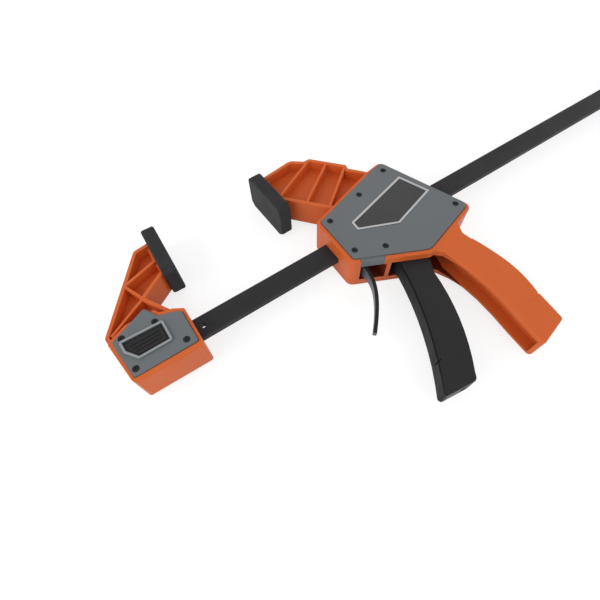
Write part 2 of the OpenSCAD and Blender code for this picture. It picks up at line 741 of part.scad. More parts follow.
module trigger() {
    outline = concat(
        [[55.4, above(2)], [55.4, below(20)]], bow(trigger_front_top, trigger_front_low, -5),
        rounded([trigger_front_bend, trigger_front_low, trigger_back_low, trigger_back_bend],
                [0, 2.5, 4, 0]),
        trigger_back,
        [[nose_x, nose_y - 1.5], [nose_x, nose_y + 1.5], [67.6, nose_y + 5], [67.6, above(2)]]);
    end_line = trigger_back_low - trigger_front_low;
    score_d = 0.7;
    end_pocket_w = 8;
    end_pocket_d = 3;
    color(plastic_black) at_jaw() difference() {
        union() {
            slab(outline, trigger_z);
            translate([pivot[0], pivot[1], -trigger_z]) cylinder(r = boss_r, h = trigger_w);
            block([outline[0][0], 0, -trigger_z], [nose_x - 1.8, pivot[1], trigger_z]);
        }
        block([outline[0][0] - 10, fork_floor_y, -cheek_in_z], [nose_x + 10, pivot[1] + 20, cheek_in_z]);
        translate([pivot[0], pivot[1], -trigger_z - 1])
            cylinder(r = pivot_d / 2 + pin_fit, h = trigger_w + 2);
        // score round the front edge
        translate(trigger_front_low + [13.4, 22.3]) rotate([0, 0, 30]) difference() {
            block([-6, -0.3, -trigger_z - 1], [7, 0.3, trigger_z + 1]);
            block([score_d, -1, score_d - trigger_z], [8, 1, trigger_z - score_d]);
        }
        // pocket in the end, near its back corner
        translate(trigger_back_low) rotate([0, 0, atan2(end_line[1], end_line[0])])
            block([-11, -1, -end_pocket_w / 2], [-7, end_pocket_d, end_pocket_w / 2]);
    }
}

module trigger_pivot_pin() {
    color(steel_bright) at_jaw() translate([pivot[0], pivot[1], -cover_in_z + 0.2])
        cylinder(r = pivot_d / 2, h = 2 * cover_in_z - 0.4);
}

module drive_plate(k) {
    corner = 2;
    plate = [[-drive_plate_h / 2, -drive_plate_w / 2], [drive_plate_h / 2, -drive_plate_w / 2],
             [drive_plate_h / 2, drive_plate_w / 2], [-drive_plate_h / 2, drive_plate_w / 2]];
    x = drive_x + k * (drive_plate_t + 0.1);
    color(steel_bright) at_jaw() difference() {
        rotate([90, 0, 90]) layer(rounded(plate, corner), x, x + drive_plate_t);
        bar_passage(x - 1, x + drive_plate_t + 1);
    }
}

spring_r = sqrt(pow(bar_w / 2, 2) + pow(bar_t / 2, 2)) + drive_wire / 2 + 0.4;

module drive_spring() {
    color(spring_steel) at_jaw() translate([drive_end_x, 0, 0]) rotate([0, 90, 0])
        coil(spring_r, drive_wire, drive_turns, spring_end_x - drive_end_x);
}

// ---- release lever ----

module release_lever() {
    line = concat([release_pivot], curve(release_bend, release_knee, release_tip, 10));
    flare = [[release_pivot[1] + 2 * release_head_r, release_w / 2], [brake_y - 2 * brake_r, release_w / 2],
             [release_bend[1], release_neck_w / 2], [release_tip[1], release_tip_w / 2],
             [release_tip[1] - 2 * release_t, release_tip_w / 2]];
    color(steel_dark) at_jaw() difference() {
        intersection() {
            union() {
                slab(ribbon(line, release_t), release_w / 2);
                translate([release_pivot[0], release_pivot[1], -release_w / 2])
                    cylinder(r = release_head_r, h = release_w);
            }
            rotate([90, 0, 90])
                layer(concat(flare, [for (k = [len(flare) - 1:-1:0]) [flare[k][0], -flare[k][1]]]),
                      release_tip[0] - 20, release_pivot[0] + 20);
        }
        block([release_pivot[0] - 20, -bar_w / 2 - free_gap, -bar_t / 2 - release_fit],
              [release_pivot[0] + 20, bar_w / 2 + free_gap, bar_t / 2 + release_fit]);
    }
}

module brake_spring() {
    lean_x = release_pivot[0] - (release_pivot[1] - brake_y) * tan(release_lean) + release_t / 2
             + brake_r * tan(release_lean) + free_gap;
    color(spring_steel) at_jaw() translate([lean_x, brake_y, 0]) rotate([0, 90, 0])
        coil(brake_r, brake_wire, brake_turns, partition_x - lean_x);
}

bar();
bar_stop_pin();
fixed_jaw();
fixed_jaw_front_cover();
fixed_jaw_back_cover();
fixed_jaw_front_screws();
fixed_jaw_back_screws();
fixed_jaw_pad();
quick_change_button();
lock_yoke();
lock_pin();
button_spring();
moving_jaw_housing();
moving_jaw_front_cover();
moving_jaw_back_cover();
moving_jaw_front_screws();
moving_jaw_back_screws();
label_panel();
moving_jaw_pad();
trigger();
trigger_pivot_pin();
drive_plate(0);  // drive_plate_1
drive_plate(1);  // drive_plate_2
drive_plate(2);  // drive_plate_3
drive_spring();
release_lever();
brake_spring();
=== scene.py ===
"""Quick release bar clamp: the looks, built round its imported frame.

Each sub-assembly is a class that holds its sizes and builds and dresses its own pieces. Lengths are
in metres, in the part's own frame: +X along the bar, +Y towards the jaw tips, +Z to the button side.
"""

import json
import logging
import math
from contextlib import contextmanager
from dataclasses import dataclass
from enum import Enum
from typing import Callable, Iterator

import bmesh
import bpy
from mathutils import Matrix, Vector
from mathutils.bvhtree import BVHTree


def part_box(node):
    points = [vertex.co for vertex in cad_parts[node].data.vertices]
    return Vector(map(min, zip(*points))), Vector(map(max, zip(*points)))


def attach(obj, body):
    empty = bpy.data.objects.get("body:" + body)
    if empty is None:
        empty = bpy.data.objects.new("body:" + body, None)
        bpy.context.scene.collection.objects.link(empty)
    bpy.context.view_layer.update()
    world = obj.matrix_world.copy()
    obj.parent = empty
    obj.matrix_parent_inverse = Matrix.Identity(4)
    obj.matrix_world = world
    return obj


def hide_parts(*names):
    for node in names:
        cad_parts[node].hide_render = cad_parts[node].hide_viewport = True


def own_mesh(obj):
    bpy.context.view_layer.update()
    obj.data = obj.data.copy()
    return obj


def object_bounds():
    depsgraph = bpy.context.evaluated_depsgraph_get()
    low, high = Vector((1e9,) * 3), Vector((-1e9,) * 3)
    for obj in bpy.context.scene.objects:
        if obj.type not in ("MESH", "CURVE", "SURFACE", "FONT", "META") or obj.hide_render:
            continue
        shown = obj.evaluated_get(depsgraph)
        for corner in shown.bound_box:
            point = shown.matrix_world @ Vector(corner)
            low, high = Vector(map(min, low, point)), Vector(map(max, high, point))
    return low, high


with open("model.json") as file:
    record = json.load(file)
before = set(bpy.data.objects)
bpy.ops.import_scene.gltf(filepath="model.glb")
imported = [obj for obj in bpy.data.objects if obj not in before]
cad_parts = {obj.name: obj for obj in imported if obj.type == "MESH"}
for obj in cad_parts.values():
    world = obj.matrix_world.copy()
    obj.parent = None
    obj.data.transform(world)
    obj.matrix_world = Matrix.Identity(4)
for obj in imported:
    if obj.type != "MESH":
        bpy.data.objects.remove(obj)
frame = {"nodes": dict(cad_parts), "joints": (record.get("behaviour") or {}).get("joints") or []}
CAD_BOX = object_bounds()

Colour = tuple[int, int, int]
Linear = tuple[float, float, float, float]
Material = bpy.types.Material
Piece = bpy.types.Object
Socket = bpy.types.NodeSocket
FaceTest = Callable[[bmesh.types.BMFace], bool]

MM = 0.001
SLACK = 0.02 * MM
SIDES = (-1, 1)
log = logging.getLogger("bar_clamp")


class Body(Enum):
    """The bodies that pieces ride on."""

    ROOT = "bar_and_fixed_jaw"
    QUICK_CHANGE = "quick_change"
    MOVING_JAW = "moving_jaw"
    TRIGGER = "trigger"
    RELEASE = "release_lever"


class Slot(Enum):
    """The record's material slots."""

    ORANGE = "orange_plastic"
    GREY = "grey_plastic"
    BLACK = "black_plastic"
    RUBBER = "pad_rubber"
    BAR = "bar_steel"
    LEVER = "lever_steel"
    BRIGHT = "bright_steel"
    SPRING = "spring_steel"
    SCREW = "screw_black"
    LABEL = "label_film"


def srgb(colour: Colour) -> Linear:
    """Turns a colour written as 0 to 255 per channel into the linear values that a shader reads.

    Args:
        colour: Red, green and blue.

    Returns:
        Linear red, green, blue and full opacity.
    """
    shares = [channel / 255 for channel in colour]
    linear = (share / 12.92 if share <= 0.04045 else ((share + 0.055) / 1.055) ** 2.4 for share in shares)
    return *linear, 1.0


def grey(level: float) -> Linear:
    """A grey of one linear level."""
    return level, level, level, 1.0


# ---- node trees ----


def fresh_tree(owner: Material | bpy.types.World) -> bpy.types.NodeTree:
    """Empties the node tree of a material or a world.

    Args:
        owner: The material or world.

    Returns:
        Its tree.
    """
    owner.use_nodes = True
    owner.node_tree.nodes.clear()
    return owner.node_tree


class Sheet:
    """A node tree that is written from the inputs on to the outputs."""

    def __init__(self, tree: bpy.types.NodeTree) -> None:
        """Holds the tree that the nodes go into."""
        self.tree = tree

    def node(self, kind: str, inputs: dict | None = None, **settings: object) -> bpy.types.Node:
        """Adds a node.

        Args:
            kind: The node's type, without its ShaderNode prefix.
            inputs: Values or output sockets for its inputs, by name or index.
            settings: Properties of the node itself.

        Returns:
            The new node.
        """
        made = self.tree.nodes.new("ShaderNode" + kind)
        for name, value in settings.items():
            setattr(made, name, value)
        for key, value in (inputs or {}).items():
            self.feed(made.inputs[key], value)
        return made

    def feed(self, socket: Socket, value: object) -> None:
        """Sets an input, or links it to the socket that brings its value.

        Args:
            socket: The input.
            value: A plain value or an output socket.
        """
        if isinstance(value, Socket):
            self.tree.links.new(value, socket)
        else:
            socket.default_value = value

    def math(self, operation: str, first: object, second: object, clamp: bool = False) -> Socket:
        """Adds a Math node for an operation such as ADD, held within 0 and 1 if clamp is set."""
        return self.node("Math", {0: first, 1: second}, operation=operation, use_clamp=clamp).outputs[0]

    def times(self, first: object, second: object) -> Socket:
        """Multiplies two values."""
        return self.math("MULTIPLY", first, second)

    def ramp(self, value: object, low: float, high: float, least: float = 0.0, most: float = 1.0) -> Socket:
        """Maps the range from low to high to another range, with its ends held."""
        return self.node("MapRange", {"Value": value, "From Min": low, "From Max": high,
                                      "To Min": least, "To Max": most}).outputs[0]

    def noise(self, vector: Socket, scale: object, detail: float, distortion: float = 0.0) -> Socket:
        """Adds a Noise texture and gives its value."""
        return self.node("TexNoise", {"Vector": vector, "Scale": scale, "Detail": detail,
                                      "Distortion": distortion}).outputs["Fac"]

    def cells(self, vector: Socket, scale: object, smoothness: float = 1.0) -> Socket:
        """Adds a smooth Voronoi texture and gives the distance from its cells' middles."""
        return self.node("TexVoronoi", {"Vector": vector, "Scale": scale, "Smoothness": smoothness},
                         feature="SMOOTH_F1").outputs["Distance"]

    def mix(self, share: object, first: object, second: object) -> Socket:
        """Mixes two colours.

        Args:
            share: How much of the second shows, a value or socket.
            first: First colour or socket.
            second: Second colour or socket.

        Returns:
            The mixed colour's socket.
        """
        made = self.node("Mix", data_type="RGBA")
        wanted = {"Factor_Float": share, "A_Color": first, "B_Color": second}
        for socket in made.inputs:
            if socket.identifier in wanted:
                self.feed(socket, wanted[socket.identifier])
        return next(socket for socket in made.outputs if socket.identifier == "Result_Color")

    def seen_rays(self) -> Socket:
        """Makes a value that is 1 where the floor or the world shows itself, and 0 where it lights.

        Returns:
            The value's socket.
        """
        rays = self.node("LightPath").outputs
        mirrored = self.math("MAXIMUM", rays["Is Glossy Ray"], rays["Is Transmission Ray"])
        return self.math("MAXIMUM", rays["Is Camera Ray"], mirrored)


class NodeGroup(Sheet):
    """A shader node group under way, with a Vector input and number inputs."""

    def __init__(self, name: str, **numbers: float) -> None:
        """Starts a group.

        Args:
            name: The group's name.
            numbers: Starting value of each number input, by its name in lower case.
        """
        super().__init__(bpy.data.node_groups.new(name, "ShaderNodeTree"))
        face = self.tree.interface
        face.new_socket(name="Vector", in_out="INPUT", socket_type="NodeSocketVector")
        for label, start in numbers.items():
            socket = face.new_socket(name=label.capitalize(), in_out="INPUT", socket_type="NodeSocketFloat")
            socket.default_value = start
        self.inputs = self.tree.nodes.new("NodeGroupInput").outputs

    def give(self, **results: Socket) -> bpy.types.NodeTree:
        """Ends the group.

        Args:
            results: Socket of each output, by the output's name.

        Returns:
            The group's tree.
        """
        for label in results:
            self.tree.interface.new_socket(name=label, in_out="OUTPUT", socket_type="NodeSocketFloat")
        sink = self.tree.nodes.new("NodeGroupOutput")
        for label, socket in results.items():
            self.tree.links.new(socket, sink.inputs[label])
        return self.tree


def make_edge_wear_and_highlight() -> bpy.types.NodeTree:
    """Makes the group whose mask is 1 along outer edges and 0 on faces, for rubbed wear and a painted
    highlight.

    Returns:
        The node group, with inputs Vector, Radius and Breakup and output Mask.
    """
    group = NodeGroup("edge_wear_and_highlight", radius=0.6 * MM, breakup=400.0)
    rounded = group.node("Bevel", {"Radius": group.inputs["Radius"]}, samples=6).outputs[0]
    true_normal = group.node("NewGeometry").outputs["Normal"]
    turn = group.node("VectorMath", {0: rounded, 1: true_normal}, operation="DOT_PRODUCT").outputs["Value"]
    patches = group.noise(group.inputs["Vector"], group.inputs["Breakup"], detail=3.0)
    broken = group.ramp(patches, 0.35, 0.6, least=0.35)
    return group.give(Mask=group.math("MULTIPLY", group.ramp(turn, 0.998, 0.90), broken, clamp=True))


def make_moulded_skin() -> bpy.types.NodeTree:
    """Makes the group for a moulded surface: fine spark-eroded grain and a slow unevenness.

    Returns:
        The node group, with inputs Vector and Scale and outputs Height and Mottle.
    """
    group = NodeGroup("moulded_skin", scale=2200.0)
    vector, scale = group.inputs["Vector"], group.inputs["Scale"]
    grain = group.noise(vector, scale, detail=2.0)
    pits = group.cells(vector, group.times(scale, 0.55))
    slow = group.noise(vector, group.times(scale, 0.012), detail=3.0)
    height = group.math("ADD", grain, group.times(pits, 0.5))
    return group.give(Height=height, Mottle=group.ramp(slow, 0.3, 0.7))


def make_handling() -> bpy.types.NodeTree:
    """Makes the group for faint smudges and scuffs from handling.

    Returns:
        The node group, with inputs Vector and Scale and outputs Smudge and Scuff.
    """
    group = NodeGroup("handling", scale=60.0)
    vector, scale = group.inputs["Vector"], group.inputs["Scale"]
    smudge = group.noise(vector, scale, detail=4.0, distortion=0.6)
    lean = group.node("Mapping", {"Vector": vector, "Rotation": (0.3, 0.2, 0.7), "Scale": (1.0, 14.0, 9.0)})
    scuff = group.noise(lean.outputs[0], group.times(scale, 1.6), detail=5.0)
    return group.give(Smudge=group.ramp(smudge, 0.42, 0.68), Scuff=group.ramp(scuff, 0.62, 0.74))


def make_drawn_lines() -> bpy.types.NodeTree:
    """Makes the group for the fine lines that drawing or grinding leaves along X.

    Returns:
        The node group, with inputs Vector and Scale and outputs Height and Streak.
    """
    group = NodeGroup("drawn_lines", scale=1500.0)
    scale = group.inputs["Scale"]
    along = group.node("Mapping", {"Vector": group.inputs["Vector"], "Scale": (0.015, 1.0, 1.0)}).outputs[0]
    wide = group.noise(along, group.times(scale, 0.12), detail=4.0)
    return group.give(Height=group.noise(along, scale, detail=3.0), Streak=group.ramp(wide, 0.35, 0.68))


EDGE_WEAR_AND_HIGHLIGHT = make_edge_wear_and_highlight()
MOULDED_SKIN = make_moulded_skin()
HANDLING = make_handling()
DRAWN_LINES = make_drawn_lines()


# ---- finishes ----


class Surface(Sheet):
    """A material under way, with the node work that the finishes share."""

    def __init__(self, name: str) -> None:
        """Starts a material with a bare Principled BSDF.

        Args:
            name: The material's name.
        """
        self.material = bpy.data.materials.new(name)
        super().__init__(fresh_tree(self.material))
        self.shader = self.node("BsdfPrincipled")
        self.node("OutputMaterial", {"Surface": self.shader.outputs[0]})
        self.place = self.node("TexCoord").outputs["Object"]

    def group(self, tree: bpy.types.NodeTree, **numbers: float) -> bpy.types.bpy_prop_collection:
        """Places a shared group, its number inputs named in lower case, and gives its outputs."""
        inputs = {name.capitalize(): number for name, number in numbers.items()}
        return self.node("Group", {"Vector": self.place, **inputs}, node_tree=tree).outputs

    def connect(self, name: str, socket: Socket) -> None:
        """Links a socket to an input of the shader."""
        self.tree.links.new(socket, self.shader.inputs[name])

    def rub_edges(self, body: Socket, edge: Colour, share: float, radius: float, breakup: float) -> None:
        """Colours the surface, with a share of another colour within a radius of its edges: partly rubbed
        wear, partly a painted highlight.
        """
        mask = self.group(EDGE_WEAR_AND_HIGHLIGHT, radius=radius, breakup=breakup)["Mask"]
        self.connect("Base Color", self.mix(self.times(mask, share), body, srgb(edge)))

    def dull(self, mask: Socket, least: float, dulling: float) -> None:
        """Sets a roughness that a mask raises from its least value."""
        self.connect("Roughness", self.ramp(mask, 0.0, 1.0, least, least + dulling))

    def bump(self, height: Socket, depth: float, strength: float) -> None:
        """Bumps the surface by a height whose full step is so many metres deep."""
        self.connect("Normal", self.node("Bump", {"Height": height, "Distance": depth,
                                                  "Strength": strength}).outputs[0])

    def constants(self, **values: float) -> None:
        """Sets plain numbers on the shader's own sockets, named with underscores for spaces."""
        for name, value in values.items():
            self.shader.inputs[name.replace("_", " ")].default_value = value


@dataclass(frozen=True)
class Coat:
    """What all finishes have: a name, a colour and the shade of it that the surface varies to."""

    name: str
    colour: Colour
    shade: Colour

    def material(self) -> Material:
        """Builds the finish."""
        surface = Surface(self.name)
        self.dress(surface)
        return surface.material

    def dress(self, surface: Surface) -> None:
        """Writes the finish's nodes on a bare surface."""
        raise NotImplementedError

    def blend(self, surface: Surface, share: Socket) -> Socket:
        """Mixes the shade into the colour by a share."""
        return surface.mix(share, srgb(self.colour), srgb(self.shade))


@dataclass(frozen=True)
class MouldedPlastic(Coat):
    """Injection moulded plastic with a spark-eroded grain and lighter edges, partly rubbed wear and partly a
    painted highlight.
    """

    edge: Colour
    roughness: float = 0.42
    smudge_dulling: float = 0.09
    scuff_shine: float = 0.06
    shade_share: float = 0.35
    edge_share: float = 0.5
    edge_radius: float = 0.5 * MM
    edge_breakup: float = 420.0
    grain_scale: float = 2200.0
    grain_depth: float = 0.03 * MM
    grain_strength: float = 0.6
    mark_scale: float = 55.0
    specular: float = 0.4

    def dress(self, surface: Surface) -> None:
        """Writes the finish's nodes on a bare surface."""
        skin = surface.group(MOULDED_SKIN, scale=self.grain_scale)
        marks = surface.group(HANDLING, scale=self.mark_scale)
        body = self.blend(surface, surface.times(skin["Mottle"], self.shade_share))
        surface.rub_edges(body, self.edge, self.edge_share, self.edge_radius, self.edge_breakup)
        least, most = self.roughness, self.roughness + self.smudge_dulling
        smudged = surface.ramp(marks["Smudge"], 0.0, 1.0, least, most)
        shine = surface.times(marks["Scuff"], self.scuff_shine)
        surface.connect("Roughness", surface.math("SUBTRACT", smudged, shine))
        surface.bump(skin["Height"], self.grain_depth, self.grain_strength)
        surface.constants(Specular_IOR_Level=self.specular)


@dataclass(frozen=True)
class CoatedSteel(Coat):
    """Rolled steel under a dark oxide or phosphate coat, drawn along X."""

    edge: Colour
    roughness: float = 0.42
    smudge_dulling: float = 0.12
    metallic: float = 0.35
    specular: float = 0.5
    streak_share: float = 0.5
    edge_share: float = 0.6
    edge_radius: float = 0.5 * MM
    edge_breakup: float = 260.0
    line_scale: float = 1500.0
    line_depth: float = 0.01 * MM
    line_strength: float = 0.5
    mark_scale: float = 35.0

    def dress(self, surface: Surface) -> None:
        """Writes the finish's nodes on a bare surface."""
        lines = surface.group(DRAWN_LINES, scale=self.line_scale)
        marks = surface.group(HANDLING, scale=self.mark_scale)
        body = self.blend(surface, surface.times(lines["Streak"], self.streak_share))
        surface.rub_edges(body, self.edge, self.edge_share, self.edge_radius, self.edge_breakup)
        surface.dull(marks["Smudge"], self.roughness, self.smudge_dulling)
        surface.bump(lines["Height"], self.line_depth, self.line_strength)
        surface.constants(Metallic=self.metallic, Specular_IOR_Level=self.specular)


@dataclass(frozen=True)
class GroundSteel(Coat):
    """Bare steel, ground or drawn bright."""

    roughness: float = 0.32
    streak_dulling: float = 0.15
    line_scale: float = 1800.0
    line_depth: float = 0.008 * MM
    line_strength: float = 0.4

    def dress(self, surface: Surface) -> None:
        """Writes the finish's nodes on a bare surface."""
        lines = surface.group(DRAWN_LINES, scale=self.line_scale)
        surface.connect("Base Color", self.blend(surface, lines["Streak"]))
        surface.dull(lines["Streak"], self.roughness, self.streak_dulling)
        surface.bump(lines["Height"], self.line_depth, self.line_strength)
        surface.constants(Metallic=1.0)


@dataclass(frozen=True)
class PadRubber(Coat):
    """Soft dark rubber with a pebbled face and a greyish bloom, also along its edges, partly as wear and
    partly as a painted highlight.
    """

    roughness: float = 0.62
    mottle_dulling: float = 0.1
    pebble_scale: float = 900.0
    pebble_smoothness: float = 0.6
    pebble_depth: float = 0.06 * MM
    pebble_strength: float = 0.5
    grain_scale: float = 2600.0
    grain_share: float = 0.3
    mark_scale: float = 70.0
    mark_share: float = 0.45
    edge_radius: float = 0.9 * MM
    edge_breakup: float = 300.0
    edge_share: float = 0.55
    specular: float = 0.25

    def dress(self, surface: Surface) -> None:
        """Writes the finish's nodes on a bare surface."""
        pebbles = surface.cells(surface.place, self.pebble_scale, self.pebble_smoothness)
        skin = surface.group(MOULDED_SKIN, scale=self.grain_scale)
        marks = surface.group(HANDLING, scale=self.mark_scale)
        edge_wear_highlight_mask = surface.group(EDGE_WEAR_AND_HIGHLIGHT, radius=self.edge_radius, breakup=self.edge_breakup)
        bloom_and_edge_highlight = surface.math("ADD", surface.times(marks["Smudge"], self.mark_share),
                            surface.times(edge_wear_highlight_mask["Mask"], self.edge_share), clamp=True)
        surface.connect("Base Color", self.blend(surface, bloom_and_edge_highlight))
        surface.dull(skin["Mottle"], self.roughness, self.mottle_dulling)
        height = surface.math("ADD", pebbles, surface.times(skin["Height"], self.grain_share))
        surface.bump(height, self.pebble_depth, self.pebble_strength)
        surface.constants(Specular_IOR_Level=self.specular)


@dataclass(frozen=True)
class PrintedFilm(Coat):
    """Satin film of a label panel, with a faint printed unevenness."""

    roughness: float = 0.36
    smudge_dulling: float = 0.12
    grain_scale: float = 3200.0
    grain_depth: float = 0.012 * MM
    grain_strength: float = 0.4
    mark_scale: float = 90.0

    def dress(self, surface: Surface) -> None:
        """Writes the finish's nodes on a bare surface."""
        skin = surface.group(MOULDED_SKIN, scale=self.grain_scale)
        marks = surface.group(HANDLING, scale=self.mark_scale)
        surface.connect("Base Color", self.blend(surface, skin["Mottle"]))
        surface.dull(marks["Smudge"], self.roughness, self.smudge_dulling)
        surface.bump(skin["Height"], self.grain_depth, self.grain_strength)


class Finish:
    """Every finish of the clamp, each built once."""

    # The last colour of each moulded and coated finish goes on its edges: partly rubbed wear, partly a
    # painted highlight.
    ORANGE = MouldedPlastic("orange_plastic", (213, 101, 45), (203, 92, 39), (231, 131, 80),
                            specular=0.25).material()
    # A dark orange for the walls of the housing's rooms: painted shade.
    ROOM_ORANGE = MouldedPlastic("painted_shade_orange", (108, 35, 12), (94, 30, 10), (136, 54, 24),
                                 roughness=0.6, edge_share=0.2, specular=0.1).material()
    GREY = MouldedPlastic("grey_plastic", (104, 109, 112), (98, 103, 106), (142, 146, 148),
                          roughness=0.46, edge_share=0.45, specular=0.3).material()
    RIM_GREY = MouldedPlastic("rim_plastic", (146, 150, 152), (138, 142, 144), (172, 175, 176),
                              roughness=0.4, specular=0.3).material()
    BLACK = MouldedPlastic("black_plastic", (33, 33, 35), (29, 29, 31), (70, 70, 72),
                           roughness=0.44, edge_share=0.55, specular=0.22).material()
    # A darker black for the trigger's front, which faces the key light: painted shade.
    FINGER_BLACK = MouldedPlastic("painted_shade_black", (22, 22, 23), (18, 18, 19), (52, 52, 54),
                                  roughness=0.5, edge_share=0.4, specular=0.1).material()
    RUBBER = PadRubber("pad_rubber", (38, 38, 40), (56, 56, 60)).material()
    BAR = CoatedSteel("bar_steel", (40, 40, 42), (48, 48, 50), (88, 88, 90),
                      roughness=0.5, metallic=0.1, specular=0.2).material()
    LEVER = CoatedSteel("lever_steel", (84, 86, 89), (98, 100, 103), (140, 140, 142),
                        roughness=0.34, metallic=0.2, specular=0.2).material()
    LEVER_EDGE = CoatedSteel("lever_edge", (34, 34, 36), (44, 44, 46), (84, 84, 86),
                             roughness=0.45, metallic=0.1, specular=0.15).material()
    BRIGHT = GroundSteel("bright_steel", (176, 178, 180), (150, 152, 155)).material()
    SPRING = GroundSteel("spring_steel", (150, 152, 154), (120, 122, 124), roughness=0.26).material()
    SCREW = CoatedSteel("screw_steel", (22, 22, 24), (30, 30, 32), (70, 70, 72), roughness=0.38,
                        metallic=0.4).material()
    LABEL = PrintedFilm("label_film", (46, 46, 47), (41, 41, 42)).material()
    LABEL_BORDER = PrintedFilm("label_border", (190, 190, 190), (178, 178, 179)).material()


# ---- modelling tools ----

OUTWARD_TURN = math.radians(26.0)
FLAT_TURN = math.radians(0.4)
SMOOTH_TURN = math.radians(38.0)
SOFT_TURN = math.radians(50.0)
WELD_GAP = 0.002 * MM
CUTTER_HEIGHT = 80 * MM
CUTTER_SIDES = 72


def deselect_everything() -> None:
    """Leaves object mode with nothing selected."""
    if bpy.context.object is not None and bpy.context.object.mode != "OBJECT":
        bpy.ops.object.mode_set(mode="OBJECT")
    bpy.ops.object.select_all(action="DESELECT")


def take_up(piece: Piece) -> None:
    """Selects one object alone and makes it the active one."""
    deselect_everything()
    piece.select_set(True)
    bpy.context.view_layer.objects.active = piece


@contextmanager
def editing(piece: Piece, kind: str = "EDGE") -> Iterator[bmesh.types.BMesh]:
    """Opens a piece in edit mode with nothing selected, and closes it again.

    Args:
        piece: The object to edit.
        kind: Select mode, VERT, EDGE or FACE.

    Yields:
        The piece's edit mesh, whose selection the operators act on.
    """
    take_up(piece)
    bpy.ops.object.mode_set(mode="EDIT")
    bpy.ops.mesh.select_mode(type=kind)
    bpy.ops.mesh.select_all(action="DESELECT")
    yield bmesh.from_edit_mesh(piece.data)
    bpy.ops.object.mode_set(mode="OBJECT")


def weld(gap: float) -> None:
    """Merges the doubles of the mesh in edit mode and makes its flat faces whole.

    Args:
        gap: How far apart corners may lie that become one.
    """
    bpy.ops.mesh.select_all(action="SELECT")
    bpy.ops.mesh.remove_doubles(threshold=gap)
    bpy.ops.mesh.dissolve_limited(angle_limit=FLAT_TURN)


def place_object(name: str, data: bpy.types.ID) -> Piece:
    """Adds an object that holds some data.

    Args:
        name: The object's name.
        data: Its mesh, curve, light or camera.

    Returns:
        The new object.
    """
    made = bpy.data.objects.new(name, data)
    bpy.context.scene.collection.objects.link(made)
    return made


def merged_copy(node: str, name: str) -> Piece:
    """Copies a CAD node's mesh into a new object, joined up and with its flat faces whole.

    Args:
        node: The CAD node.
        name: The new piece's name.

    Returns:
        The new object.
    """
    mesh = frame["nodes"][node].data.copy()
    mesh.materials.clear()
    piece = place_object(name, mesh)
    with editing(piece):
        bpy.ops.mesh.customdata_custom_splitnormals_clear()
        weld(WELD_GAP)
    return piece


def is_outward(edge: bmesh.types.BMEdge) -> bool:
    """Whether the faces of an edge meet at a plain outward turn."""
    return len(edge.link_faces) == 2 and edge.calc_face_angle_signed(0.0) > OUTWARD_TURN


def faces_out(face: bmesh.types.BMFace, least: float = 0.8) -> bool:
    """Whether a face looks away from the middle plane, to the front or the back of the clamp."""
    return face.normal.z * face.calc_center_median().z > least * abs(face.calc_center_median().z)


def lies_at(*levels: float) -> FaceTest:
    """Makes a test for faces that lie at given heights over or under the middle plane."""
    return lambda face: faces_out(face) and all(
        any(abs(abs(corner.co.z) - level) < SLACK for level in levels) for corner in face.verts)


def round_edges(piece: Piece, width: float, segments: int = 2) -> None:
    """Rounds every outward edge of a piece.

    Args:
        piece: The object to work on.
        width: How far the rounding reaches from each edge.
        segments: Steps across the rounding.
    """
    with editing(piece) as mesh:
        mesh.normal_update()
        for edge in mesh.edges:
            if is_outward(edge):
                edge.select_set(True)
        mesh.select_flush(True)
        bmesh.update_edit_mesh(piece.data)
        bpy.ops.mesh.bevel(offset=width, offset_type="OFFSET", segments=segments, profile=0.5,
                           affect="EDGES", clamp_overlap=False, loop_slide=True)


def roll_rims(piece: Piece, test: FaceTest, width: Callable[[Vector], float], segments: int = 3) -> None:
    """Rounds the outer rims of faces that look to the front or the back.

    The faces are inset as one region, a loop at a time, and each loop is then set on its quarter
    circle. Rims that rise to a wall stay as they are.

    Args:
        piece: The object to work on.
        test: Which faces to take.
        width: Radius of the rounding at a place.
        segments: Steps across the rounding.
    """
    first_step = 0.01 * MM
    with editing(piece, "FACE") as mesh:
        mesh.normal_update()
        layers = mesh.verts.layers
        home, lean = layers.float_vector.new("home"), layers.float_vector.new("lean")
        outward, step = layers.int.new("outward"), layers.int.new("step")
        for face in mesh.faces:
            face.select_set(test(face))
        for corner in mesh.verts:
            corner[home] = corner.co
            rims = [edge for edge in corner.link_edges
                    if len(edge.link_faces) == 2 and sum(face.select for face in edge.link_faces) == 1]
            corner[outward] = int(bool(rims) and all(is_outward(edge) for edge in rims))
        bmesh.update_edit_mesh(piece.data)
        for number in range(1, segments + 1):
            bpy.ops.mesh.inset(thickness=first_step, depth=0.0, use_even_offset=True, use_interpolate=False)
            mesh = bmesh.from_edit_mesh(piece.data)
            layers = mesh.verts.layers
            home, lean = layers.float_vector["home"], layers.float_vector["lean"]
            outward, step = layers.int["outward"], layers.int["step"]
            for corner in {corner for face in mesh.faces if face.select for corner in face.verts}:
                corner[step] = number
                if number == 1:
                    corner[lean] = (corner.co - corner[home]) / first_step
        room = room_for_rims(mesh, home, lean, step)
        for corner in mesh.verts:
            limit = room.get(place_key(corner[home]))
            if limit is None:
                continue
            reach = min(width(corner[home]), limit)
            turn = math.radians(90.0) * corner[step] / segments
            corner.co = corner[home] + corner[lean] * (reach * (1 - math.cos(turn)))
            if corner[outward]:
                corner.co.z -= math.copysign(reach * (1 - math.sin(turn)), corner.co.z)
        for layer in (home, lean):
            layers.float_vector.remove(layer)
        for name in ("outward", "step"):
            layers.int.remove(layers.int[name])
        bmesh.update_edit_mesh(piece.data)


def place_key(place: Vector, grid: float = 0.0005 * MM) -> tuple[int, ...]:
    """A place as whole steps of a fine grid, so that places can be looked up."""
    return tuple(round(value / grid) for value in place)


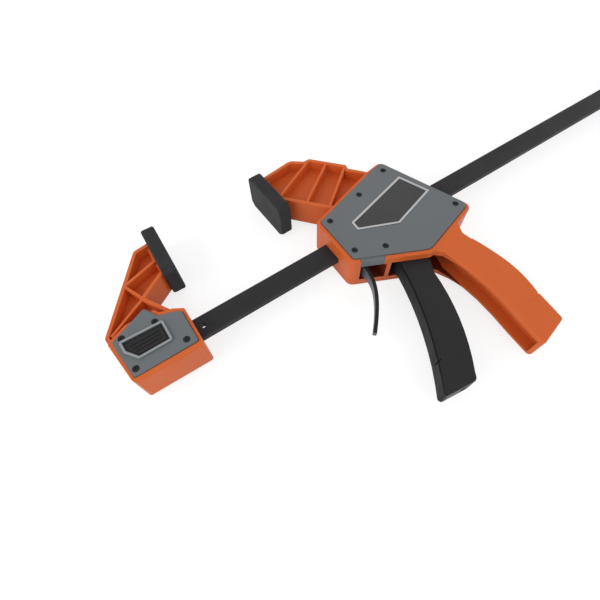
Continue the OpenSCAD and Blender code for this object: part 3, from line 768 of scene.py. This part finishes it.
def room_for_rims(mesh: bmesh.types.BMesh, home: object, lean: object, step: object) -> dict:
    """Finds how broad a rounding each corner of a region's outline has room for.

    Args:
        mesh: The mesh, its region inset at least twice.
        home: Layer of the corners' first places.
        lean: Layer of the way that each corner moves, for a rounding one unit broad.
        step: Layer of the loop that each corner belongs to.

    Returns:
        The largest width at each corner, by its place.
    """
    closing_share, longest_lean, search, gap_share = 0.8, 3.0, 6.0 * MM, 0.4
    room: dict[tuple[int, ...], float] = {}
    walls: list[tuple[Vector, ...]] = []
    rails = [edge for edge in mesh.edges if all(end[step] == 1 for end in edge.verts)]
    rise = Vector((0.0, 0.0, MM))
    for edge in rails:
        start, end = edge.verts
        along = end[home] - start[home]
        walls.append((start[home] - rise, end[home] - rise, end[home] + rise, start[home] + rise))
        closing = (start[lean] - end[lean]).dot(along)
        limit = closing_share * along.length_squared / closing if closing > 0 else math.inf
        for corner in edge.verts:
            own = limit if corner[lean].length < longest_lean else 0.0
            key = place_key(corner[home])
            room[key] = min(room.get(key, math.inf), own)
    tree = BVHTree.FromPolygons([point for wall in walls for point in wall],
                                [tuple(range(4 * index, 4 * index + 4)) for index in range(len(walls))])
    for corner in {corner for edge in rails for corner in edge.verts}:
        start, slant = corner[home], corner[lean]
        for point, _, wall, gap in tree.find_nearest_range(start, search):
            ends = rails[wall].verts
            facing = (ends[0][lean] + ends[1][lean]).dot(slant) < 0
            ahead = (point - start).dot(slant) > 0 or gap < SLACK
            if corner in ends or not facing or not ahead:
                continue
            for near in (corner, *ends):
                key = place_key(near[home])
                room[key] = min(room[key], gap_share * gap)
    return room


def apply_modifier(piece: Piece, kind: str, **settings: object) -> None:
    """Adds a modifier and applies it at once.

    Args:
        piece: The object to work on.
        kind: The modifier's type.
        settings: Its properties.
    """
    take_up(piece)
    made = piece.modifiers.new(kind.lower(), kind)
    for name, value in settings.items():
        setattr(made, name, value)
    bpy.ops.object.modifier_apply(modifier=made.name)


def carve(piece: Piece, tool: Piece) -> None:
    """Cuts a tool's shape out of a piece and throws the tool away."""
    apply_modifier(piece, "BOOLEAN", operation="DIFFERENCE", object=tool, solver="EXACT")
    bpy.data.objects.remove(tool)


def make_block(size: Vector, turn: float, place: Vector) -> Piece:
    """Makes a box that is used as a cutter.

    Args:
        size: Its length, breadth and height.
        turn: How far it is turned round the upright axis, in radians.
        place: Its middle.

    Returns:
        The box.
    """
    deselect_everything()
    bpy.ops.mesh.primitive_cube_add(size=1.0)
    block = bpy.context.object
    block.data.transform(Matrix.LocRotScale(place, Matrix.Rotation(turn, 3, "Z"), size))
    return block


def round_corner(piece: Piece, apex: Vector, first: Vector, second: Vector, radius: float) -> None:
    """Rounds an upright corner between two outer walls.

    Args:
        piece: The object to work on.
        apex: Where the walls would meet, in the middle plane.
        first: Outward normal of one wall.
        second: Outward normal of the other wall.
        radius: Radius of the rounding.
    """
    half_turn = first.angle(second) / 2
    outwards = (first + second).normalized()
    centre = apex - outwards * (radius / math.cos(half_turn))
    past_chord = centre + outwards * (radius * math.cos(half_turn) + radius)
    tool = make_block(Vector((2 * radius, 2 * radius, CUTTER_HEIGHT)),
                      math.atan2(outwards.y, outwards.x), past_chord)
    deselect_everything()
    bpy.ops.mesh.primitive_cylinder_add(vertices=CUTTER_SIDES, radius=radius, depth=2 * CUTTER_HEIGHT)
    core = bpy.context.object
    core.data.transform(Matrix.Translation(centre))
    carve(tool, core)
    carve(piece, tool)


def wire_along(points: list[Vector], radius: float) -> Piece:
    """Makes a round wire along a line of points, used as a cutter for grooves.

    Args:
        points: The line.
        radius: The wire's radius.

    Returns:
        The wire as a mesh object.
    """
    curve = bpy.data.curves.new("wire", "CURVE")
    curve.dimensions = "3D"
    spline = curve.splines.new("POLY")
    spline.points.add(len(points) - 1)
    for slot, point in zip(spline.points, points):
        slot.co = (*point, 1.0)
    curve.bevel_depth = radius
    curve.bevel_resolution = 2
    curve.use_fill_caps = True
    take_up(place_object("wire", curve))
    bpy.ops.object.convert(target="MESH")
    return bpy.context.object


def paint_faces(piece: Piece, test: Callable[[bpy.types.MeshPolygon], bool]) -> None:
    """Gives the faces that pass a test the piece's second material, and the others the first."""
    for face in piece.data.polygons:
        face.material_index = int(test(face))


def finish_piece(piece: Piece, node: str, body: Body, slot: Slot, *materials: Material,
                 angle: float = SMOOTH_TURN) -> None:
    """Shades a piece smooth with its large faces kept flat, gives it its finish and reports it.

    Args:
        piece: The finished mesh.
        node: The CAD node that it replaces.
        body: The body that it rides on.
        slot: The record's slot that its finish comes from; not used.
        materials: Its materials, in order, if it has none yet.
        angle: Largest turn, in radians, that is shaded smooth.
    """
    take_up(piece)
    bpy.ops.object.shade_smooth_by_angle(angle=angle)
    apply_modifier(piece, "WEIGHTED_NORMAL", mode="FACE_AREA", weight=50, keep_sharp=True)
    for material in materials:
        piece.data.materials.append(material)
    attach(piece, body.value)
    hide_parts(node)
    log.info("%s: %d faces, rides on %s", piece.name, len(piece.data.polygons), body.value)


def dress_node(node: str, material: Material) -> None:
    """Gives a CAD node that stays in view its material.

    Args:
        node: The CAD node.
        material: The material.
    """
    piece = frame["nodes"][node]
    piece.data.materials.clear()
    piece.data.materials.append(material)
    log.info("%s: CAD node with %s", node, material.name)


# ---- pieces that both jaws have ----


def build_spring(node: str, body: Body) -> None:
    """Builds a coil spring from its CAD node, with its joint's axis and fixed end looked up but not used.

    Args:
        node: The CAD node that it stands for.
        body: The body that its fixed end sits on.
    """
    joint, rule = next((joint, rule) for joint in frame["joints"]
                       for rule in joint.get("deforming_nodes", ()) if rule["node"] == node)
    way = rule["mode"][-1]
    low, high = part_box(node)
    length = getattr(high - low, way)
    anchor, axis = (low + high) / 2, Vector()
    setattr(anchor, way, rule[f"fixed_end_{way}_m"])
    setattr(axis, way, 1.0)
    piece = merged_copy(node, node + "_coil")
    finish_piece(piece, node, body, Slot.SPRING, Finish.SPRING, angle=SOFT_TURN)
    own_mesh(piece)


def build_screws(node: str, body: Body, edge_round: float = 0.2 * MM) -> None:
    """Builds a cover's screws with softened heads.

    Args:
        node: The CAD node that they stand for.
        body: The body that they ride on.
        edge_round: Rounding of the heads' edges.
    """
    piece = merged_copy(node, node + "_set")
    high = max(abs(corner.z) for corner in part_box(node))
    roll_rims(piece, lies_at(high), lambda place: edge_round, segments=2)
    finish_piece(piece, node, body, Slot.SCREW, Finish.SCREW)


def build_covers(jaw: str, body: Body, edge_round: float, *materials: Material,
                 rim: float = 1.0 * MM) -> None:
    """Builds a jaw's cover plates and their screws.

    Args:
        jaw: The name that the jaw's nodes start with.
        body: The body that they ride on.
        edge_round: Rounding of the plates' edges.
        materials: Finish of the plates, and of the rim round the button if there is one.
        rim: Depth of that rim's light top.
    """
    face_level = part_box("moving_jaw_front_cover")[1].z
    rim_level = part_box("fixed_jaw_front_cover")[1].z
    for side in ("front", "back"):
        node = f"{jaw}_{side}_cover"
        piece = merged_copy(node, node + "_plate")
        roll_rims(piece, lies_at(face_level, rim_level), lambda place: edge_round)
        finish_piece(piece, node, body, Slot.GREY, *materials)
        paint_faces(piece, lambda face: face.center.z > rim_level - rim)
        build_screws(f"{jaw}_{side}_screws", body)


def build_jaw_pad(node: str, body: Body, edge_round: float = 0.5 * MM) -> None:
    """Builds a rubber pad with soft edges.

    Args:
        node: The CAD node that it stands for.
        body: The body that it rides on.
        edge_round: Rounding of the pad's edges.
    """
    piece = merged_copy(node, node + "_rubber")
    round_edges(piece, edge_round, segments=3)
    finish_piece(piece, node, body, Slot.RUBBER, Finish.RUBBER, angle=SOFT_TURN)


# ---- sub-assemblies ----


@dataclass
class BarAssembly:
    """The flat bar and the stop pin at its free end."""

    def build(self) -> None:
        """Dresses the bar and its pin."""
        dress_node("bar", Finish.BAR)
        dress_node("bar_stop_pin", Finish.BRIGHT)


@dataclass
class FixedJaw:
    """The ribbed jaw at the bar's end, with its covers, screws and pad."""

    rib_round: float = 0.6 * MM
    cover_round: float = 0.45 * MM
    arm_level: float = 13.25 * MM
    back_edge: float = -60.0 * MM
    back_top: float = 26.0 * MM
    seat_tip: Vector = Vector((-13.3, 18.5, 0.0)) * MM
    tip_size: float = 1.5 * MM
    foot_round: float = 4.0 * MM
    foot_front: Vector = Vector((-5.55, -21.83, 0.0)) * MM
    foot_back: Vector = Vector((-61.5, -20.94, 0.0)) * MM
    front_normal: Vector = Vector((1.0, 0.0, 0.0))
    back_normal: Vector = Vector((-0.99, -0.13, 0.0))

    def build(self) -> None:
        """Builds and dresses every piece of the jaw."""
        self.build_moulding()
        build_covers("fixed_jaw", Body.ROOT, self.cover_round, Finish.GREY, Finish.RIM_GREY)
        build_jaw_pad("fixed_jaw_pad", Body.ROOT)

    def build_moulding(self) -> None:
        """Builds the orange moulding with softened edges."""
        piece = merged_copy("fixed_jaw", "fixed_jaw_moulding")
        along = (self.foot_back - self.foot_front).normalized()
        sole = Vector((-along.y, along.x, 0.0))
        round_corner(piece, self.foot_front, self.front_normal, sole, self.foot_round)
        round_corner(piece, self.foot_back, self.back_normal, sole, self.foot_round)
        roll_rims(piece, lies_at(self.arm_level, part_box("fixed_jaw")[1].z), self.rim_width)
        finish_piece(piece, "fixed_jaw", Body.ROOT, Slot.ORANGE, Finish.ORANGE)

    def rim_width(self, place: Vector) -> float:
        """The rims' rounding, left out where a rim runs into the cover's seat as a thin wedge.

        Args:
            place: A corner of the rim.

        Returns:
            The rounding's radius there.
        """
        at_back = place.x < self.back_edge and place.y < self.back_top
        at_seat = (place.xy - self.seat_tip.xy).length < self.tip_size
        return 0.0 if at_back or at_seat else self.rib_round


@dataclass
class QuickChange:
    """The push button of the fixed jaw, with its yoke, pin and spring."""

    button_round: float = 0.3 * MM

    def build(self) -> None:
        """Builds the button and its spring, and dresses the yoke and pin."""
        piece = merged_copy("quick_change_button", "quick_change_push_button")
        roll_rims(piece, lies_at(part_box("quick_change_button")[1].z), lambda place: self.button_round)
        finish_piece(piece, "quick_change_button", Body.QUICK_CHANGE, Slot.BLACK, Finish.BLACK)
        dress_node("lock_yoke", Finish.BRIGHT)
        dress_node("lock_pin", Finish.BRIGHT)
        build_spring("button_spring", Body.ROOT)


@dataclass
class MovingJaw:
    """The sliding jaw: housing with grip, covers, screws, label panel and pad."""

    edge_round: float = 0.6 * MM
    grip_round: float = 2.2 * MM
    grip_end_round: float = 1.2 * MM
    grip_level: float = 12.5 * MM
    grip_top: float = -56.0 * MM
    grip_full: float = -66.0 * MM
    grip_middle: float = 206.0 * MM
    panel_groove: float = 0.3 * MM
    panel_back: tuple = ((222.6, -89.0), (219.9, -98.0), (218.2, -108.0), (217.4, -118.0))
    panel_bend: Vector = Vector((220.2, -127.6)) * MM
    panel_bend_radius: float = 3.2 * MM
    panel_end: Vector = Vector((227.6, -130.0)) * MM
    seat_level: float = 15.75 * MM
    lever_corner: Vector = Vector((125.35, -26.83, 0.0)) * MM
    lever_corner_round: float = 7.0 * MM
    front_normal: Vector = Vector((-1.0, 0.0, 0.0))
    floor_normal: Vector = Vector((-0.432, -0.902, 0.0))
    room_low: Vector = Vector((132.0, -56.0, -10.4)) * MM
    room_high: Vector = Vector((199.0, 21.5, 10.4)) * MM
    cover_round: float = 0.5 * MM
    label_lip: float = 0.02 * MM
    label_border: float = 1.8 * MM
    label_corner: float = 1.2 * MM
    label_slope: float = 0.1 * MM
    label_sink: float = 0.25 * MM

    def build(self) -> None:
        """Builds and dresses every piece of the jaw."""
        self.build_housing()
        build_covers("moving_jaw", Body.MOVING_JAW, self.cover_round, Finish.GREY)
        self.build_label()
        build_jaw_pad("moving_jaw_pad", Body.MOVING_JAW)
        dress_node("trigger_pivot_pin", Finish.BRIGHT)
        build_spring("drive_spring", Body.MOVING_JAW)
        build_spring("brake_spring", Body.MOVING_JAW)

    def is_outer_face(self, face: bmesh.types.BMFace) -> bool:
        """Whether a face of the housing looks outwards, the covers' seats left out."""
        levels = [abs(corner.co.z) for corner in face.verts]
        return (faces_out(face) and min(levels) > self.grip_level - 0.2 * MM
                and all(abs(level - self.seat_level) > SLACK for level in levels))

    def rim_width(self, place: Vector) -> float:
        """The rims' rounding: broad where the fingers close on the grip, less on its back and end.

        Args:
            place: A corner of the rim.

        Returns:
            The rounding's radius there.
        """
        share = min(1.0, max(0.0, (self.grip_top - place.y) / (self.grip_top - self.grip_full)))
        full = self.grip_round if place.x < self.grip_middle else self.grip_end_round
        return self.edge_round + share * (full - self.edge_round)

    def is_inside_body(self, face: bpy.types.MeshPolygon) -> bool:
        """Whether a face is a wall of the rooms that the release lever and the trigger stand in."""
        inside = all(low < value < high for low, value, high in
                     zip(self.room_low, face.center, self.room_high))
        return inside and face.normal.dot(self.floor_normal) < 0.9

    def panel_line(self, height: float) -> list[Vector]:
        """Draws the fine line that sets off the palm panel, from the grip's back down to its notch.

        Args:
            height: Height of the grip's side, with its sign.

        Returns:
            The line's points.
        """
        bend = [self.panel_bend - self.panel_bend_radius * Vector((math.cos(turn), math.sin(turn)))
                for turn in (math.radians(15 * number) for number in range(7))]
        down = [Vector(place) * MM for place in self.panel_back]
        return [Vector((*place, height)) for place in (*down, *bend, self.panel_end)]

    def build_housing(self) -> None:
        """Builds the orange housing, broadly rounded where the fingers close on the grip, with painted shade
        on the walls of its rooms.
        """
        piece = merged_copy("moving_jaw_housing", "moving_jaw_moulding")
        round_corner(piece, self.lever_corner, self.front_normal, self.floor_normal, self.lever_corner_round)
        roll_rims(piece, self.is_outer_face, self.rim_width, segments=5)
        for sign in SIDES:
            carve(piece, wire_along(self.panel_line(sign * self.grip_level), self.panel_groove))
        finish_piece(piece, "moving_jaw_housing", Body.MOVING_JAW, Slot.ORANGE, Finish.ORANGE,
                     Finish.ROOM_ORANGE)
        # The walls inside the lever's and the trigger's rooms get the darker orange: painted shade.
        paint_faces(piece, self.is_inside_body)

    def build_label(self) -> None:
        """Builds the bare label panel: a light raised border round a sunk dark field."""
        piece = merged_copy("label_panel", "label_panel_film")
        piece.data.materials.append(Finish.LABEL)
        piece.data.materials.append(Finish.LABEL_BORDER)
        with editing(piece, "FACE") as mesh:
            mesh.normal_update()
            top = max(mesh.faces, key=lambda face: face.calc_center_median().z)
            top.select_set(True)
            piece.active_material_index = 1
            bpy.ops.object.material_slot_assign()
            bpy.ops.mesh.inset(thickness=self.label_lip, depth=0.0)
            self.sharpen_corners(piece)
            bpy.ops.mesh.inset(thickness=self.label_border, depth=0.0)
            piece.active_material_index = 0
            bpy.ops.object.material_slot_assign()
            bpy.ops.mesh.inset(thickness=self.label_slope, depth=-self.label_sink)
        finish_piece(piece, "label_panel", Body.MOVING_JAW, Slot.LABEL)

    def sharpen_corners(self, piece: Piece) -> None:
        """Draws each rounded corner of the selected face together to one point.

        Args:
            piece: The label panel, in edit mode.
        """
        mesh = bmesh.from_edit_mesh(piece.data)
        field = next(face for face in mesh.faces if face.select)
        place = field.calc_center_median()
        bpy.ops.mesh.select_mode(type="EDGE")
        bpy.ops.mesh.select_all(action="DESELECT")
        for edge in field.edges:
            edge.select_set(edge.calc_length() < self.label_corner)
        bpy.ops.mesh.merge(type="COLLAPSE")
        bpy.ops.mesh.select_mode(type="FACE")
        bpy.ops.mesh.select_all(action="DESELECT")
        mesh = bmesh.from_edit_mesh(piece.data)
        min(mesh.faces, key=lambda face: (face.calc_center_median() - place).length).select_set(True)
        bmesh.update_edit_mesh(piece.data)


@dataclass
class SqueezeTrigger:
    """The black trigger that the fingers pull."""

    front_round: float = 2.6 * MM
    back_round: float = 1.2 * MM
    hub_round: float = 0.4 * MM
    top: float = -14.0 * MM
    front_lean: float = -0.4
    finger_lean: float = -0.45
    score_level: float = 9.1 * MM
    notch_at: Vector = Vector((127.6, -126.9, 0.0)) * MM
    notch_size: Vector = Vector((8.4, 0.8, 18.0)) * MM
    notch_turn: float = math.radians(3.0)
    crease_in: float = 3.0 * MM
    crease_end: float = -146.0 * MM
    crease_depth: float = 0.28 * MM

    def build(self) -> None:
        """Builds the trigger, broadly rounded towards the fingers and less towards the palm, its front
        darker as painted shade.
        """
        piece = merged_copy("trigger", "trigger_handle")
        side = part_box("trigger")[1].z
        self.fill_score(piece, side)
        front = [end.co.copy() for end in self.front_corners(piece)]
        creases = [self.crease_line(piece, sign * side) for sign in SIDES]
        roll_rims(piece, lies_at(side), lambda place: self.rim_width(place, front), segments=5)
        for crease in creases:
            carve(piece, wire_along(crease, self.crease_depth))
        carve(piece, make_block(self.notch_size, self.notch_turn, self.notch_at + Vector((0.0, 0.0, side))))
        finish_piece(piece, "trigger", Body.TRIGGER, Slot.BLACK, Finish.BLACK, Finish.FINGER_BLACK)
        # The front faces get the darker black: painted shade.
        paint_faces(piece, lambda face: face.normal.x < self.finger_lean and face.center.y < self.top)

    def fill_score(self, piece: Piece, side: float) -> None:
        """Lifts the score's floor to the side on both sides, so that the rims run through.

        Args:
            piece: The trigger.
            side: Height of its sides over the middle plane.
        """
        with editing(piece, "VERT") as mesh:
            for corner in mesh.verts:
                if abs(abs(corner.co.z) - self.score_level) < SLACK:
                    corner.co.z = math.copysign(side, corner.co.z)
            bmesh.update_edit_mesh(piece.data)
            weld(0.01 * MM)

    def front_corners(self, piece: Piece) -> list[bpy.types.MeshVertex]:
        """Collects the corners of the front, which looks towards the fingers."""
        return [end for end in piece.data.vertices if end.co.y < self.top and end.normal.x < self.front_lean]

    def crease_line(self, piece: Piece, height: float) -> list[Vector]:
        """Draws the crease that runs down one side, just behind the rounded front rim.

        Args:
            piece: The trigger, before its rims are rounded.
            height: Height of the side, with its sign.

        Returns:
            The line's points, from the top down.
        """
        rim = [end for end in self.front_corners(piece) if abs(end.co.z - height) < SLACK]
        rim.sort(key=lambda end: -end.co.y)
        return [Vector((*(end.co.xy - end.normal.xy.normalized() * self.crease_in), height))
                for end in rim if end.co.y > self.crease_end]

    def rim_width(self, place: Vector, front: list[Vector]) -> float:
        """The rounding at a place of the rim.

        Args:
            place: A corner of the rim.
            front: Corners of the trigger's front.

        Returns:
            The rounding's radius there.
        """
        if place.y > self.top:
            return self.hub_round
        at_front = any((place - corner).length < 0.01 * MM for corner in front)
        return self.front_round if at_front else self.back_round


@dataclass
class DriveUnit:
    """The three plates that grip the bar."""

    count: int = 3

    def build(self) -> None:
        """Dresses the plates."""
        for number in range(1, self.count + 1):
            dress_node(f"drive_plate_{number}", Finish.BRIGHT)


@dataclass
class ReleaseLever:
    """The curved steel lever that frees the bar."""

    edge_round: float = 0.4 * MM
    edge_least: float = 0.6

    def build(self) -> None:
        """Builds the lever with rolled edges and darker faces towards the front and back."""
        piece = merged_copy("release_lever", "release_lever_strip")
        round_edges(piece, self.edge_round)
        finish_piece(piece, "release_lever", Body.RELEASE, Slot.LEVER, Finish.LEVER, Finish.LEVER_EDGE)
        paint_faces(piece, lambda face: abs(face.normal.z) > self.edge_least)


# ---- studio ----


@dataclass(frozen=True)
class SoftBox:
    """A square area light that faces the clamp, with its power in watts."""

    name: str
    place: Vector
    size: float
    power: float
    aim: Vector = Vector((0.12, -0.02, 0.0))

    def build(self) -> None:
        """Hangs the light."""
        light = bpy.data.lights.new(self.name, "AREA")
        light.shape = "SQUARE"
        light.size = self.size
        light.energy = self.power
        lamp = place_object(self.name, light)
        lamp.location = self.place
        lamp.rotation_euler = (self.aim - self.place).to_track_quat("-Z", "Y").to_euler()


@dataclass
class Studio:
    """Floor, world, lights and camera."""

    camera_at: Vector = Vector((-4.48, -162.15, 291.86)) * MM
    camera_forward: Vector = Vector((0.24406, 0.41757, -0.87525))
    camera_right: Vector = Vector((0.83319, -0.55212, -0.03108))
    lens: float = 24.32
    sensor: float = 36.0
    nearest: float = 0.01
    floor_gap: float = 0.05 * MM
    floor_size: float = 12.0
    floor_middle: float = 0.3
    sky: float = 0.7
    paper_lit: float = 0.86
    paper_seen: float = 0.33
    floor_glow: float = 0.76

    def build(self) -> None:
        """Sets the whole studio up, a large soft box over the clamp and a weaker one at its side."""
        self.build_floor()
        self.build_world()
        SoftBox("key", Vector((-1.15, 0.0, 0.8)), size=1.0, power=7.5).build()
        SoftBox("fill", Vector((0.3, -1.1, 0.8)), size=0.9, power=2.0).build()
        self.build_camera()
        bpy.context.scene.view_settings.view_transform = "Standard"

    def build_floor(self) -> None:
        """Lays the pale floor just under the clamp."""
        deselect_everything()
        low = CAD_BOX[0].z - self.floor_gap
        bpy.ops.mesh.primitive_plane_add(size=self.floor_size, location=(self.floor_middle, 0.0, low))
        floor = bpy.context.object
        floor.name = "floor"
        material = bpy.data.materials.new("floor_white")
        sheet = Sheet(fresh_tree(material))
        seen = sheet.seen_rays()
        tint = sheet.mix(seen, grey(self.paper_lit), grey(self.paper_seen))
        paper = sheet.node("BsdfDiffuse", {"Color": tint})
        glow = sheet.node("Emission", {"Color": grey(1.0), "Strength": sheet.times(seen, self.floor_glow)})
        both = sheet.node("AddShader", {0: paper.outputs[0], 1: glow.outputs[0]})
        sheet.node("OutputMaterial", {"Surface": both.outputs[0]})
        floor.data.materials.append(material)

    def build_world(self) -> None:
        """Makes an even pale world, white where the camera sees it."""
        world = bpy.data.worlds.new("studio_world")
        bpy.context.scene.world = world
        sheet = Sheet(fresh_tree(world))
        soft = sheet.node("Background", {"Color": grey(1.0), "Strength": self.sky})
        white = sheet.node("Background", {"Color": grey(1.0), "Strength": 1.0})
        both = sheet.node("MixShader", {0: sheet.seen_rays(), 1: soft.outputs[0], 2: white.outputs[0]})
        sheet.node("OutputWorld", {"Surface": both.outputs[0]})

    def build_camera(self) -> None:
        """Sets the camera at its place, with its own right and forward directions."""
        data = bpy.data.cameras.new("camera")
        data.lens = self.lens
        data.sensor_width = self.sensor
        data.clip_start = self.nearest
        camera = place_object("camera", data)
        back = -self.camera_forward.normalized()
        right = (self.camera_right - back * self.camera_right.dot(back)).normalized()
        turn = Matrix((right, back.cross(right), back)).transposed()
        camera.matrix_world = Matrix.Translation(self.camera_at) @ turn.to_4x4()
        bpy.context.scene.camera = camera


def main() -> None:
    """Builds the clamp piece by piece, then the studio round it."""
    logging.basicConfig(level=logging.INFO, format="%(name)s %(message)s")
    for assembly in (BarAssembly(), FixedJaw(), QuickChange(), MovingJaw(), SqueezeTrigger(),
                     DriveUnit(), ReleaseLever(), Studio()):
        log.info("building %s", type(assembly).__name__)
        assembly.build()


if __name__ == "__main__":
    main()
